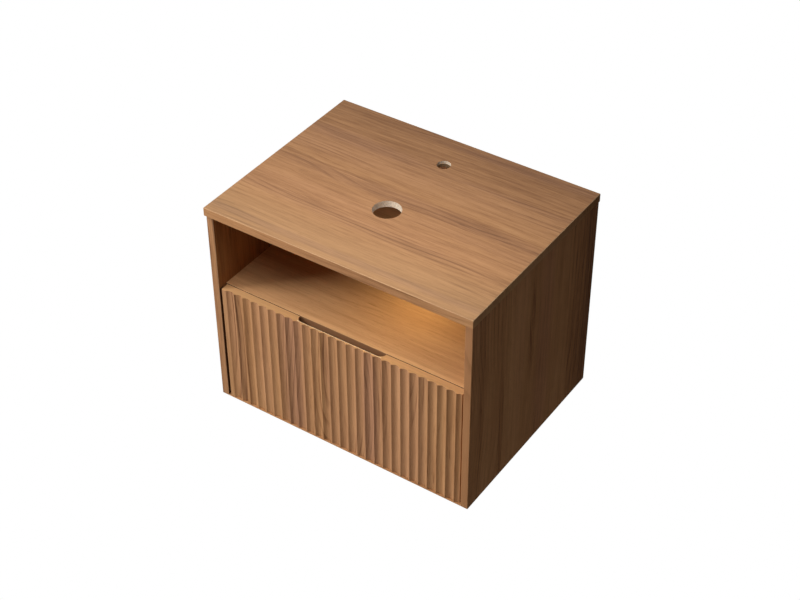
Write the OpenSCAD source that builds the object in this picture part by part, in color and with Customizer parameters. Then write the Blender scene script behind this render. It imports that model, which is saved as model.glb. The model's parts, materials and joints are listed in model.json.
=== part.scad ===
// Wall-hung bathroom vanity base with an open niche and one fluted drawer.
// Millimetres. X runs to the right as one faces the front, -Y is the front and +Z is up.
// The wall is the plane y = 0, and the origin is the middle of the wall rail's row of screw holes.

/* [Countertop] */
// Width of the countertop, which is the width of the whole vanity
counter_w = 600; // [560:10:800]
// Depth of the countertop, from the wall to its front edge
counter_d = 456; // [430:2:520]
// Thickness of the countertop board
counter_t = 19; // [16:0.5:28]
// How far the top overhangs each side panel
side_overhang = 2; // [0:0.5:8]
// How far the top overhangs the front edges of the side panels
front_overhang = 4; // [0:0.5:12]
// Size of the small bevel along the top's exposed edges
arris = 0.8; // [0.3:0.1:1.5]
// Radius of the basin's drain hole
drain_r = 28.5; // [20:0.5:36]
// Sideways place of the drain hole from the middle
drain_x = -8; // [-20:1:20]
// Distance of the drain hole's middle from the wall
drain_y = 269; // [240:1:300]
// Radius of the tap hole
tap_r = 14; // [12:0.5:18]
// Distance of the tap hole's middle from the wall
tap_y = 85; // [75:1:100]
// Depth of the clamping recess under each of the two holes
recess_depth = 5; // [3:0.5:8]
// Width of the flat ring that each clamping recess leaves round its hole
recess_ring = 14; // [8:1:18]

/* [Carcass] */
// Thickness of the side panels
side_t = 16; // [15:0.5:19]
// Height of the side panels
panel_h = 452; // [420:2:520]
// Clear height of the open niche
niche_h = 171; // [140:1:190]
// Thickness of the shelf
shelf_t = 16; // [15:0.5:19]
// Thickness of the bottom panel
bottom_t = 16; // [15:0.5:19]
// Thickness of the panel that closes the back of the niche
back_t = 9; // [6:0.5:12]
// Depth of the side panels' grooves for the niche back panel
groove_d = 6; // [4:0.5:8]
// Clearance round a panel in its groove
groove_gap = 0.2; // [0.1:0.05:0.4]
// Thickness of the two wooden rails
rail_t = 16; // [15:0.5:19]
// Height of the upper wooden rail
upper_rail_h = 60; // [55:1:80]
// Height of the lower wooden rail
lower_rail_h = 80; // [60:1:110]
// Width of the shelf's notch for the pipes
notch_w = 180; // [120:5:240]
// How far the shelf's notch reaches in from the niche back panel
notch_d = 60; // [30:5:70]
// Radius of the notch's and the cut-out's corners
notch_r = 15; // [8:1:25]
// Height of the cut-out for the pipes in the niche back panel
cutout_h = 90; // [60:5:110]

/* [Drawer front] */
// Thickness of the drawer front
front_t = 19; // [18:0.5:24]
// Gap between the drawer front and each side panel
front_gap = 5; // [2:0.25:6]
// How far the drawer front's face sits behind the side panels' edges
front_setback = 1; // [0:0.25:3]
// How far the drawer front ends above the side panels' lower edges
front_lift = 2; // [2:0.25:4]
// Gap between the back of the drawer front and the shelf's edge
shelf_gap = 1.5; // [1:0.25:2.5]
// Distance between two flutes
flute_pitch = 20.5; // [16:0.5:28]
// Depth of a flute
flute_depth = 4; // [2.5:0.25:5]
// Width of the narrow land between two flutes
flute_land = 1.2; // [0.6:0.1:3]
// Width of the plain strip left of the first flute
flute_margin = 10.2; // [4:0.1:20]
// Length of the finger pull
pull_w = 200; // [140:5:260]
// Thickness of the lip in front of the finger pull, measured to the lands
pull_lip = 6; // [5.5:0.25:8]
// Depth of the finger pull below the top edge
pull_depth = 30; // [22:1:40]
// Radius of the finger pull's front corners
pull_r = 12; // [5:0.5:12.5]

/* [Trim strip] */
// Thickness of the trim strip that closes the gap under the drawer front
trim_t = 1.5; // [1:0.1:1.75]
// How far the trim strip reaches under the bottom panel
trim_hold = 20; // [16:1:26]
// Distance between the trim strip's screws
trim_screw_pitch = 170; // [120:5:180]
// Length of a trim strip screw
trim_screw_l = 12; // [10:0.5:13]

/* [Drawer box] */
// Length of the box, front to back
box_d = 350; // [300:5:370]
// Height of the box sides
box_h = 190; // [150:5:210]
// Thickness of the box sides, inner front and back
box_t = 15; // [14:0.5:18]
// Gap between the bottom panel and the box
box_floor_gap = 8; // [5:0.5:12]
// Thickness of the box bottom
tray_t = 6; // [4:0.5:8]
// Depth of the grooves that hold the box bottom
tray_groove = 6; // [4:0.5:8]
// Height of the box bottom above the lower edge of the box
tray_up = 12; // [8:1:20]

/* [Runners] */
// Width of the gap that one runner fills
runner_gap = 12.7; // [12.5:0.1:13.5]
// Length of a runner's cabinet member
runner_l = 350; // [320:5:370]
// Height of a runner
runner_h = 45; // [42:0.5:50]
// Distance from the back of the drawer front to the runners
runner_in = 3; // [2:0.5:8]
// Thickness of the runners' steel sheet
sheet_t = 1.2; // [1:0.1:1.4]
// Outer radius of the bends in the runners' steel sheet
bend_r = 2.5; // [2:0.1:2.8]
// Radius of the holes in a middle member that let a screwdriver through
access_r = 5.5; // [4.5:0.1:6.5]
// Length of the spare slots in the cabinet and drawer members
slot_l = 18; // [12:1:30]
// Width of the spare slots in the cabinet and drawer members
slot_w = 4.6; // [4:0.1:6]
// Distance of the spare slots from the runner's middle
slot_at = 60; // [40:1:90]
// Thickness of a runner's middle member where it carries both rows of balls
middle_t = 2.1; // [1.9:0.1:2.4]
// Radius of a bearing ball
ball_r = 2; // [1.8:0.05:2.2]
// Play of a ball in its race and in its cage
ball_play = 0.15; // [0.1:0.01:0.2]
// How far a race is sunk into its member
race_sink = 0.55; // [0.4:0.05:0.6]
// Gap between the webs of two neighbouring runner pieces
web_gap = 0.35; // [0.3:0.01:0.4]
// How far the flanges of the cabinet and middle members stop short of the box
flange_short = 3; // [2.5:0.1:3.5]
// Distance between two balls of a row
ball_pitch = 20; // [12:1:40]
// Length of a ball cage
cage_l = 160; // [120:5:160]
// Thickness of a ball cage's strip
cage_t = 0.6; // [0.5:0.05:0.7]
// Length that a ball cage keeps to the members' front ends when the drawer is out
cage_margin = 5; // [2:1:8]
// Length of the rubber buffer at a runner's back end
stop_l = 7; // [5:0.5:12]
// How far the drawer pulls out
travel = 340; // [250:5:345]

/* [Hanging] */
// Height of the countertop's underside above the wall screws
hang_drop = 66; // [64:1:80]
// Gap between the wooden upper rail and the wall
wall_gap = 10; // [10:0.5:14]
// Thickness of the hanging steel
steel_t = 2; // [1.5:0.25:2.5]
// Gap between each end of the wall rail and the side panel
wall_rail_gap = 12; // [6:1:20]
// Height of the wall rail's flat, which the screws go through
wall_rail_h = 28; // [24:1:36]
// Radius of the wall rail's screw holes
wall_hole_r = 3.25; // [2.5:0.25:4]
// Distance between the wall rail's screw holes
wall_hole_pitch = 150; // [120:5:160]
// Gap behind the wall rail's lip
hook_gap = 5; // [5:0.25:6]
// Height of the wall rail's lip above its flat
lip_h = 14; // [12:1:18]
// Width of a hanging clip
clip_w = 60; // [40:2:90]
// Distance of a hanging clip's middle from the side panel
clip_in = 82; // [75:1:90]
// Height of a hanging clip's flat on the wooden rail
clip_h = 32; // [28:1:34]

/* [Fittings] */
// Radius of a cam
cam_r = 7.5; // [6:0.25:8]
// Depth of a cam in its board
cam_depth = 12.5; // [11:0.25:13.5]
// Distance of a cam's middle from the end of its board
cam_set = 34; // [24:1:40]
// Distance of the cams from the front edge of their board and from the wall
cam_edge = 60; // [45:1:70]
// Distance between the cam bolts that tie the upper rail to the countertop
rail_bolt_pitch = 120; // [80:1:130]
// Width and depth of a cam's screwdriver slot
cam_slot = 1.5; // [1:0.1:2]
// Radius of a cam bolt's shank
cam_bolt_r = 3.5; // [3.2:0.1:3.7]
// Radius of a cam bolt's thread and of its head
bolt_thread_r = 3; // [2.5:0.1:3.1]
// How deep a cam bolt is screwed into the next board
bolt_in = 11; // [8:0.5:12]
// Radius of a wood dowel
dowel_r = 4; // [3:0.5:5]
// Length of a wood dowel
dowel_l = 30; // [25:1:35]
// How deep a dowel sits in the side panel or countertop
dowel_in = 10; // [8:0.5:12]
// Distance of the first dowel from the front edge of its board
dowel_edge = 30; // [20:1:35]
// Distance between the first two dowels of a row
dowel_pitch = 160; // [120:5:200]
// Play of a cam, bolt, dowel or screw in its hole
fit = 0.1; // [0.05:0.01:0.15]
// Radius of a wood screw
screw_r = 2; // [1.75:0.05:2.5]
// Radius of a countersunk screw's head
screw_head_r = 4; // [3.5:0.1:4.5]
// Length of the runners' and clips' screws
screw_l = 14; // [10:0.5:14]
// Distance of the first and last runner screw from the runner's ends
screw_edge = 35; // [25:1:50]
// Length of the screws that hold the drawer front
front_screw_l = 27; // [24:0.5:28]
// Height of a pan head
pan_head_h = 2.5; // [2:0.1:3]
// Radius of a confirmat screw
confirmat_r = 2.5; // [2.5:0.1:3]
// Length of a confirmat screw
confirmat_l = 45; // [40:1:50]
// Radius of a closing bumper
bumper_r = 4; // [3:0.5:6]
// Gap that a closing bumper leaves when the drawer is shut
bumper_gap = 0.3; // [0.2:0.05:0.4]

/* [Hidden] */

// Colours
walnut = [0.69, 0.50, 0.35];
walnut_inside = [0.62, 0.44, 0.30];
zinc = [0.75, 0.76, 0.78];
dark_steel = [0.35, 0.36, 0.38];
beech = [0.82, 0.68, 0.50];
grey_rubber = [0.55, 0.55, 0.55];

// Roundness of bores, pins and balls, and how far a cut runs past a face
round_fn = 48;
past = 1;

// Heights
z_under = hang_drop;
z_low = z_under - panel_h;
z_shelf = z_under - niche_h;
z_front = z_low + front_lift;
z_box = z_low + bottom_t + box_floor_gap;
z_runner = z_box + box_h / 2;

// Depths
y_panel = front_overhang - counter_d;
y_face = y_panel + front_setback;
y_box = y_face + front_t;
y_inner = y_box + shelf_gap;
y_rail = -wall_gap - rail_t;
y_back = y_rail - back_t;
y_runner = y_box + runner_in;

// Widths
inner_x = counter_w / 2 - side_overhang - side_t;
front_w = 2 * (inner_x - front_gap);
front_h = z_shelf - z_front;
box_x = inner_x - runner_gap;

// Flutes
flute_chord = flute_pitch - flute_land;
flute_r = (pow(flute_chord / 2, 2) + pow(flute_depth, 2)) / (2 * flute_depth);
flute_count = ceil((front_w - flute_margin) / flute_pitch);

// Runner section: u runs from the side panel to the box, w runs up from the middle of the runner
flange_t = sheet_t + race_sink;
race_r = ball_r + ball_play;
race_off = race_r - race_sink;
w_outer = runner_h / 2 - flange_t - race_off;
w_inner = w_outer - 2 * race_off - middle_t;
u_cage = sheet_t + web_gap;
u_middle = u_cage + cage_t + web_gap;
u_inner_cage = u_middle + sheet_t + web_gap;
u_drawer = u_inner_cage + cage_t + web_gap;
u_lip = runner_gap - flange_short;
u_ball = (u_drawer + u_lip) / 2;
u_cage_end = u_ball + race_r + cage_t;
member_l = runner_l - stop_l - bumper_gap;
cage_at = travel / 4 + cage_margin;
ball_count = floor((cage_l - 4 * ball_r) / ball_pitch) + 1;
ball_first = (cage_l - (ball_count - 1) * ball_pitch) / 2;

// Hanging steel
z_flat_top = wall_rail_h / 2;
z_lip = z_flat_top + lip_h;
y_lip = -hook_gap - steel_t;
y_tongue = -hook_gap + (hook_gap - steel_t) / 2;
wall_rail_l = 2 * (inner_x - wall_rail_gap);
clip_x = inner_x - clip_in;
z_clip_screw = z_lip + 0.6 * clip_h;
clip_screw_x = [-clip_w / 4, clip_w / 4];

// Fittings
side_ends = [-1, 1];
bolt_z = shelf_t / 2;
bolt_neck_r = bolt_thread_r / 2;
cam_rows = [y_inner + cam_edge, -cam_edge];
dowel_rows = [y_inner + dowel_edge, y_inner + dowel_edge + dowel_pitch, -cam_edge - dowel_edge];
counter_dowels = [y_panel + dowel_edge, y_panel + dowel_edge + dowel_pitch, -cam_edge];
rail_bolt_x = [-rail_bolt_pitch, 0, rail_bolt_pitch];
trim_screw_x = [-1.5, -0.5, 0.5, 1.5] * trim_screw_pitch;
runner_screw_rows = [screw_edge, runner_l / 2, runner_l - screw_edge];

// ---- Shapes that repeat ----

// A rectangle whose first two corners (at y = 0) are bevelled
module bevelled_strip(w, d) {
    polygon([[arris, 0], [w - arris, 0], [w, arris], [w, d], [0, d], [0, arris]]);
}

// A rectangle whose four corners are bevelled
module bevelled_rect(w, h) {
    polygon([
        [arris, 0], [w - arris, 0], [w, arris], [w, h - arris],
        [w - arris, h], [arris, h], [0, h - arris], [0, arris]
    ]);
}

// A cylinder along X, from x = from to x = to
module rod_x(r, from, to) {
    translate([from, 0, 0]) rotate([0, 90, 0]) cylinder(r = r, h = to - from, $fn = round_fn);
}

// A countersunk wood screw along X: its head is flush at x = 0 and its point is at x = len
module wood_screw(len, r = screw_r, head_r = screw_head_r, slack = 0) {
    rotate([0, 90, 0]) rotate_extrude($fn = round_fn) polygon([
        [0, -slack], [head_r + 2 * slack, -slack], [r + slack, head_r - r],
        [r + slack, len - r + slack], [0, len + slack]
    ]);
}

// A pan-head screw along X: the head stands out from x = 0 and the point is at x = len
module pan_screw(len, slack = 0) {
    rotate([0, 90, 0]) rotate_extrude($fn = round_fn) polygon([
        [0, -pan_head_h], [screw_head_r - 1, -pan_head_h], [screw_head_r, 1 - pan_head_h],
        [screw_head_r, 0], [screw_r + slack, 0], [screw_r + slack, len - screw_r + slack],
        [0, len + slack]
    ]);
}

// Turns what points along +X on the right side into its mirror image on the left side
module on_side(side) {
    mirror([side < 0 ? 1 : 0, 0, 0]) children();
}

// ---- Fittings: x = 0 is the end of the board, +X points into the next board, z = 0 is the cam's face

module cam() {
    difference() {
        translate([-cam_set, 0, 0]) cylinder(r = cam_r, h = cam_depth, $fn = round_fn);
        translate([0, 0, bolt_z]) rod_x(cam_bolt_r, -cam_set - cam_bolt_r, past - cam_set + cam_r);
        translate([-cam_set - cam_r / 2, -cam_slot / 2, -past]) cube([cam_r, cam_slot, past + cam_slot]);
    }
}

module cam_bolt() {
    translate([0, 0, bolt_z]) rotate([0, 90, 0]) rotate_extrude($fn = round_fn) polygon([
        [0, -cam_set - bolt_neck_r], [bolt_thread_r, -cam_set - bolt_neck_r],
        [bolt_thread_r, -cam_set + bolt_neck_r], [bolt_neck_r, -cam_set + bolt_neck_r],
        [bolt_neck_r, -cam_set + cam_r], [cam_bolt_r, -cam_set + cam_r],
        [cam_bolt_r, 0], [bolt_thread_r, 0], [bolt_thread_r, bolt_in], [0, bolt_in]
    ]);
}

module cam_bores() {
    translate([-cam_set, 0, -past]) cylinder(r = cam_r + fit, h = cam_depth + past + fit, $fn = round_fn);
    translate([0, 0, bolt_z]) rod_x(cam_bolt_r + fit, -cam_set, past);
}

module cam_bolt_hole() {
    translate([0, 0, bolt_z]) rod_x(bolt_thread_r + fit, -past, bolt_in + fit);
}

module dowel(slack = 0) {
    rod_x(dowel_r + slack, dowel_in - dowel_l - slack, dowel_in + slack);
}

// Places a fitting at both ends of a lying board whose underside is at height z
module at_board(z, rows) {
    for (side = side_ends, y = rows) {
        translate([side * inner_x, y, z]) on_side(side) children();
    }
}

// Places a fitting at both ends of a standing rail whose back is at y_face_of_rail
module at_rail(y_face_of_rail, z) {
    for (side = side_ends) {
        translate([side * inner_x, y_face_of_rail, z]) on_side(side) rotate([90, 0, 0]) children();
    }
}

// Places a fitting that ties the upper rail to the countertop above it
module at_rail_top() {
    for (x = rail_bolt_x) {
        translate([x, -wall_gap, z_under]) rotate([0, -90, 0]) rotate([90, 0, 0]) children();
    }
}

module at_all_cams() {
    at_board(z_shelf - shelf_t, cam_rows) children();
    at_board(z_low, cam_rows) children();
    at_rail(-wall_gap, z_under - upper_rail_h / 2) children();
    at_rail(0, z_low + bottom_t + lower_rail_h / 2) children();
    at_rail_top() children();
}

module at_counter_dowels() {
    for (side = side_ends, y = counter_dowels) {
        translate([side * (inner_x + side_t / 2), y, z_under]) rotate([0, -90, 0]) children();
    }
}

// ---- Countertop and carcass ----

module countertop() {
    color(walnut) difference() {
        intersection() {
            translate([-counter_w / 2, 0, z_under]) rotate([90, 0, 0])
                linear_extrude(counter_d) bevelled_rect(counter_w, counter_t);
            translate([-counter_w / 2, -counter_d, z_under]) rotate([90, 0, 90])
                linear_extrude(counter_w) bevelled_rect(counter_d, counter_t);
        }
        basin_hole(drain_x, drain_y, drain_r);
        basin_hole(0, tap_y, tap_r);
        at_counter_dowels() dowel(fit);
        at_rail_top() cam_bolt_hole();
    }
}

// A hole through the top with its clamping recess from below
module basin_hole(x, y, r) {
    translate([x, -y, z_under - past]) {
        cylinder(r = r, h = counter_t + 2 * past, $fn = round_fn);
        cylinder(r = r + recess_ring, h = recess_depth + past, $fn = round_fn);
    }
}

// The side panel on the right; the left one is its mirror image
module side_panel() {
    difference() {
        translate([inner_x, y_panel, z_low]) linear_extrude(panel_h) bevelled_strip(side_t, -y_panel);
        translate([inner_x - past, y_back - groove_gap, z_shelf])
            cube([groove_d + past, back_t + 2 * groove_gap, niche_h + past]);
        panel_holes();
        translate([inner_x - sheet_t, 0, 0]) cabinet_screw_places() wood_screw(screw_l, slack = fit);
        at_counter_dowels() dowel(fit);
    }
}

module panel_holes() {
    at_board(z_shelf - shelf_t, cam_rows) cam_bolt_hole();
    at_board(z_low, cam_rows) cam_bolt_hole();
    at_rail(-wall_gap, z_under - upper_rail_h / 2) cam_bolt_hole();
    at_rail(0, z_low + bottom_t + lower_rail_h / 2) cam_bolt_hole();
    at_board(z_shelf - shelf_t / 2, dowel_rows) dowel(fit);
    at_board(z_low + bottom_t / 2, dowel_rows) dowel(fit);
}

module left_side_panel() {
    color(walnut) on_side(-1) side_panel();
}

module right_side_panel() {
    color(walnut) side_panel();
}

module shelf() {
    color(walnut) difference() {
        translate([-inner_x, 0, z_shelf - shelf_t]) rotate([90, 0, 90])
            linear_extrude(2 * inner_x) translate([y_inner, 0]) front_edged(-y_inner - wall_gap, shelf_t);
        translate([-notch_w / 2, y_back - notch_d, z_shelf - shelf_t - past])
            linear_extrude(shelf_t + 2 * past) notch_outline(notch_w, notch_d - y_back);
        at_board(z_shelf - shelf_t, cam_rows) cam_bores();
        at_board(z_shelf - shelf_t / 2, dowel_rows) dowel(fit);
    }
}

// The section of a board whose front edge (at x = 0) is bevelled above and below
module front_edged(d, t) {
    polygon([[0, arris], [arris, 0], [d, 0], [d, t], [arris, t], [0, t - arris]]);
}

// A notch that is open at its far side, with round corners at y = 0
module notch_outline(w, d) {
    translate([0, notch_r]) square([w, d - notch_r + past]);
    translate([notch_r, 0]) square([w - 2 * notch_r, notch_r + past]);
    for (x = [notch_r, w - notch_r]) {
        translate([x, notch_r]) circle(r = notch_r, $fn = round_fn);
    }
}

module bottom_panel() {
    color(walnut) difference() {
        translate([-inner_x, 0, z_low]) rotate([90, 0, 90])
            linear_extrude(2 * inner_x) translate([y_inner, 0]) front_edged(-y_inner, bottom_t);
        at_board(z_low, cam_rows) cam_bores();
        at_board(z_low + bottom_t / 2, dowel_rows) dowel(fit);
        translate([-inner_x - past, y_inner - past, z_low - past])
            cube([2 * (inner_x + past), trim_hold + past, trim_t + past]);
        at_trim_screws() wood_screw(trim_screw_l, slack = fit);
    }
}

// A thin strip in the colour of the wood, let into the underside of the bottom panel, that reaches forward
// to the side panels' front edges
module bottom_trim_strip() {
    color(walnut) difference() {
        translate([-inner_x, y_panel, z_low]) cube([2 * inner_x, y_inner + trim_hold - y_panel, trim_t]);
        at_trim_screws() wood_screw(trim_screw_l, slack = fit);
    }
}

// Where the screws stand that hold the trim strip, pointing up
module at_trim_screws() {
    for (x = trim_screw_x) {
        translate([x, y_inner + trim_hold / 2, z_low]) rotate([0, -90, 0]) children();
    }
}

module niche_back_panel() {
    half = inner_x + groove_d - groove_gap;
    color(walnut) difference() {
        translate([-half, y_back, z_shelf]) cube([2 * half, back_t, niche_h]);
        translate([-notch_w / 2, y_back - past, z_shelf + cutout_h]) rotate([-90, 0, 0])
            linear_extrude(back_t + 2 * past) notch_outline(notch_w, cutout_h);
    }
}

module upper_rear_rail() {
    color(walnut_inside) difference() {
        translate([-inner_x, y_rail, z_under - upper_rail_h]) cube([2 * inner_x, rail_t, upper_rail_h]);
        at_rail(-wall_gap, z_under - upper_rail_h / 2) cam_bores();
        at_rail_top() cam_bores();
        at_clip_screws() wood_screw(screw_l, slack = fit);
    }
}

module lower_rear_rail() {
    color(walnut_inside) difference() {
        translate([-inner_x, -rail_t, z_low + bottom_t]) cube([2 * inner_x, rail_t, lower_rail_h]);
        at_rail(0, z_low + bottom_t + lower_rail_h / 2) cam_bores();
    }
}

// ---- Drawer ----

module drawer_front() {
    color(walnut) difference() {
        translate([-front_w / 2, y_face, z_front]) linear_extrude(front_h) difference() {
            bevelled_strip(front_w, front_t);
            for (i = [0 : flute_count - 1]) {
                translate([flute_margin + flute_pitch * (i + 0.5), flute_depth - flute_r])
                    circle(r = flute_r, $fn = 2 * round_fn);
            }
        }
        translate([-pull_w / 2, y_face + pull_lip, z_shelf - pull_depth])
            linear_extrude(pull_depth + past) pull_outline();
        at_front_screws() pan_screw(front_screw_l, fit);
    }
}

// The finger pull seen from above, with round front corners and an open back
module pull_outline() {
    translate([0, pull_r]) square([pull_w, front_t - pull_lip - pull_r + past]);
    translate([pull_r, 0]) square([pull_w - 2 * pull_r, pull_r + past]);
    for (x = [pull_r, pull_w - pull_r]) {
        translate([x, pull_r]) circle(r = pull_r, $fn = round_fn);
    }
}

// The place of the box bottom, grown by slack on every side
module tray(slack) {
    reach = tray_groove - groove_gap + slack;
    translate([
        -box_x + box_t - reach,
        y_box + box_t - reach,
        z_box + tray_up - slack
    ]) cube([
        2 * (box_x - box_t + reach),
        box_d - 2 * (box_t - reach),
        tray_t + 2 * slack
    ]);
}

// The box side on the right; the left one is its mirror image
module box_side() {
    difference() {
        translate([box_x - box_t, y_box, z_box]) cube([box_t, box_d, box_h]);
        tray(groove_gap);
        at_box_screws() wood_screw(confirmat_l, confirmat_r, screw_head_r, fit);
        drawer_screw_places() wood_screw(screw_l - sheet_t, slack = fit);
    }
}

module drawer_left_side() {
    color(walnut_inside) on_side(-1) box_side();
}

module drawer_right_side() {
    color(walnut_inside) box_side();
}

// A cross board of the box, whose front face is at y
module box_end(y) {
    difference() {
        translate([box_t - box_x, y, z_box]) cube([2 * (box_x - box_t), box_t, box_h]);
        tray(groove_gap);
        at_box_screws() wood_screw(confirmat_l, confirmat_r, screw_head_r, fit);
    }
}

module drawer_inner_front() {
    color(walnut_inside) difference() {
        box_end(y_box);
        at_front_screws() rod_x(screw_r + fit, -past, box_t + past);
    }
}

module drawer_back() {
    color(walnut_inside) box_end(y_box + box_d - box_t);
}

module drawer_bottom() {
    color(walnut_inside) tray(0);
}

// ---- Runners, drawn on the right: u = 0 is the side panel's face and u grows towards the box ----

// Turns the section (u, w) into a bar that runs back from y_start for length
module runner_bar(y_start, length) {
    translate([inner_x, y_start, z_runner]) mirror([1, 0, 0]) rotate([90, 0, 0])
        translate([0, 0, -length]) linear_extrude(length) children();
}

// Circles at both rows of balls
module both_rows(w, r) {
    for (row = [-w, w]) {
        translate([u_ball, row]) circle(r = r, $fn = round_fn);
    }
}

// A strip from u = from to u = to whose two corners at u = from are rounded
module bent_strip(from, to, half, r) {
    translate([from + r, -half]) square([to - from - r, 2 * half]);
    translate([from, r - half]) square([to - from, 2 * (half - r)]);
    for (row = [r - half, half - r]) {
        translate([from + r, row]) circle(r = r, $fn = round_fn);
    }
}

// The races of the cabinet member are rolled outwards, so its sheet keeps its thickness
module cabinet_section() {
    face = w_outer + race_off;
    difference() {
        intersection() {
            union() {
                bent_strip(0, u_lip, face + sheet_t, bend_r);
                both_rows(w_outer, race_r + sheet_t);
            }
            translate([0, -runner_h / 2]) square([u_lip, runner_h]);
        }
        bent_strip(sheet_t, u_lip + past, face, bend_r - sheet_t);
        both_rows(w_outer, race_r);
    }
}

// The flanges of the middle member have a race on either side
module middle_section() {
    face = w_outer - race_off;
    difference() {
        bent_strip(u_middle, u_lip, face, bend_r);
        bent_strip(u_middle + sheet_t, u_lip + past, face - middle_t, bend_r - sheet_t);
        both_rows(w_outer, race_r);
        both_rows(w_inner, race_r);
    }
}

// The races of the drawer member are rolled inwards
module drawer_section() {
    face = w_inner - race_off;
    deep = runner_gap - u_drawer;
    difference() {
        translate([runner_gap, 0]) mirror([1, 0]) bent_strip(0, deep, face, bend_r);
        difference() {
            translate([runner_gap, 0]) mirror([1, 0])
                bent_strip(sheet_t, deep + past, face - sheet_t, bend_r - sheet_t);
            both_rows(w_inner, race_r + sheet_t);
        }
        both_rows(w_inner, race_r);
    }
}

// Slots through a web, at both sides of a runner's middle
module spare_slots(y_middle) {
    for (end = side_ends, half = side_ends) {
        round_y = y_middle + end * slot_at + half * (slot_l - slot_w) / 2;
        translate([0, round_y, z_runner]) rod_x(slot_w / 2, -past, runner_gap + past);
    }
    for (end = side_ends) {
        translate([-past, y_middle + end * slot_at - (slot_l - slot_w) / 2, z_runner - slot_w / 2])
            cube([runner_gap + 2 * past, slot_l - slot_w, slot_w]);
    }
}

module cabinet_member() {
    color(zinc) difference() {
        runner_bar(y_runner, runner_l) cabinet_section();
        translate([inner_x - sheet_t, 0, 0]) cabinet_screw_places() wood_screw(screw_l, slack = fit);
        translate([box_x, 0, 0]) spare_slots(y_runner + runner_l / 2);
    }
}

module middle_member() {
    color(zinc) difference() {
        runner_bar(y_runner, member_l) middle_section();
        translate([box_x, 0, 0]) cabinet_screw_places() rod_x(access_r, 0, runner_gap);
    }
}

module drawer_member() {
    color(zinc) difference() {
        runner_bar(y_runner, member_l) drawer_section();
        drawer_screw_places() wood_screw(screw_l - sheet_t, slack = fit);
        translate([box_x, 0, 0]) spare_slots(y_runner + runner_l / 2 - stop_l);
    }
}

// Where the screws stand that hold the cabinet member, pointing into the side panel
module cabinet_screw_places() {
    for (y = runner_screw_rows) {
        translate([0, y_runner + y, z_runner]) children();
    }
}

// Where the screws stand that hold the drawer member, pointing into the box side
module drawer_screw_places() {
    for (y = runner_screw_rows) {
        translate([box_x + sheet_t, y_runner + y - stop_l, z_runner]) mirror([1, 0, 0]) children();
    }
}

// A ball cage's strip: a web at u and an arm at each row of balls
module cage_section(u, w) {
    translate([u, -w - cage_t / 2]) square([cage_t, 2 * w + cage_t]);
    for (row = [-w, w]) {
        translate([u, row - cage_t / 2]) square([u_cage_end - u, cage_t]);
    }
}

// The places of a cage's balls
module at_balls(w) {
    for (row = [-w, w], i = [0 : ball_count - 1]) {
        translate([inner_x - u_ball, y_runner + cage_at + ball_first + i * ball_pitch, z_runner + row])
            children();
    }
}

module ball_cage(u, w) {
    color(dark_steel) difference() {
        runner_bar(y_runner + cage_at, cage_l) cage_section(u, w);
        at_balls(w) cylinder(r = race_r, h = 2 * cage_t, center = true, $fn = round_fn);
    }
}

module balls(w) {
    color(zinc) at_balls(w) sphere(r = ball_r, $fn = round_fn);
}

module runner_buffers() {
    color(grey_rubber) for (side = side_ends) {
        on_side(side) runner_bar(y_runner + runner_l - stop_l, stop_l)
            translate([sheet_t, -w_inner]) square([u_lip - sheet_t, 2 * w_inner]);
    }
}

// ---- The runners' pieces on each side ----

module left_cabinet_member() {
    on_side(-1) cabinet_member();
}

module right_cabinet_member() {
    cabinet_member();
}

module left_middle_member() {
    on_side(-1) middle_member();
}

module right_middle_member() {
    middle_member();
}

module left_drawer_member() {
    on_side(-1) drawer_member();
}

module right_drawer_member() {
    drawer_member();
}

module left_outer_ball_cage() {
    on_side(-1) ball_cage(u_cage, w_outer);
}

module right_outer_ball_cage() {
    ball_cage(u_cage, w_outer);
}

module left_inner_ball_cage() {
    on_side(-1) ball_cage(u_inner_cage, w_inner);
}

module right_inner_ball_cage() {
    ball_cage(u_inner_cage, w_inner);
}

module left_outer_balls() {
    on_side(-1) balls(w_outer);
}

module right_outer_balls() {
    balls(w_outer);
}

module left_inner_balls() {
    on_side(-1) balls(w_inner);
}

module right_inner_balls() {
    balls(w_inner);
}

// ---- Hanging steel ----

module wall_rail() {
    color(zinc) difference() {
        translate([-wall_rail_l / 2, 0, 0]) rotate([90, 0, 90]) linear_extrude(wall_rail_l) {
            translate([-steel_t, -wall_rail_h / 2]) square([steel_t, wall_rail_h]);
            translate([y_lip, z_flat_top - steel_t]) square([-y_lip, steel_t]);
            translate([y_lip, z_flat_top - steel_t]) square([steel_t, lip_h + steel_t]);
        }
        for (i = [-1.5 : 1 : 1.5]) {
            translate([i * wall_hole_pitch, past, 0]) rotate([90, 0, 0])
                cylinder(r = wall_hole_r, h = steel_t + 2 * past, $fn = round_fn);
        }
    }
}

module hanging_clip(side) {
    color(zinc) difference() {
        translate([side * clip_x - clip_w / 2, 0, 0]) rotate([90, 0, 90]) linear_extrude(clip_w) {
            translate([-wall_gap, z_lip]) square([steel_t, clip_h]);
            translate([-wall_gap, z_lip]) square([wall_gap + y_tongue + steel_t, steel_t]);
            translate([y_tongue, z_lip - lip_h + steel_t]) square([steel_t, lip_h]);
        }
        at_clip_screws() wood_screw(screw_l, slack = fit);
    }
}

module left_hanging_clip() {
    hanging_clip(-1);
}

module right_hanging_clip() {
    hanging_clip(1);
}

// Where the screws stand that hold the clips to the upper rail, pointing to the front
module at_clip_screws() {
    for (side = side_ends, x = clip_screw_x) {
        translate([side * clip_x + x, steel_t - wall_gap, z_clip_screw]) rotate([0, 0, -90]) children();
    }
}

// ---- Fasteners ----

module hanging_clip_screws() {
    color(zinc) at_clip_screws() wood_screw(screw_l);
}

module cams() {
    color(zinc) at_all_cams() cam();
}

module cam_bolts() {
    color(zinc) at_all_cams() cam_bolt();
}

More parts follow.
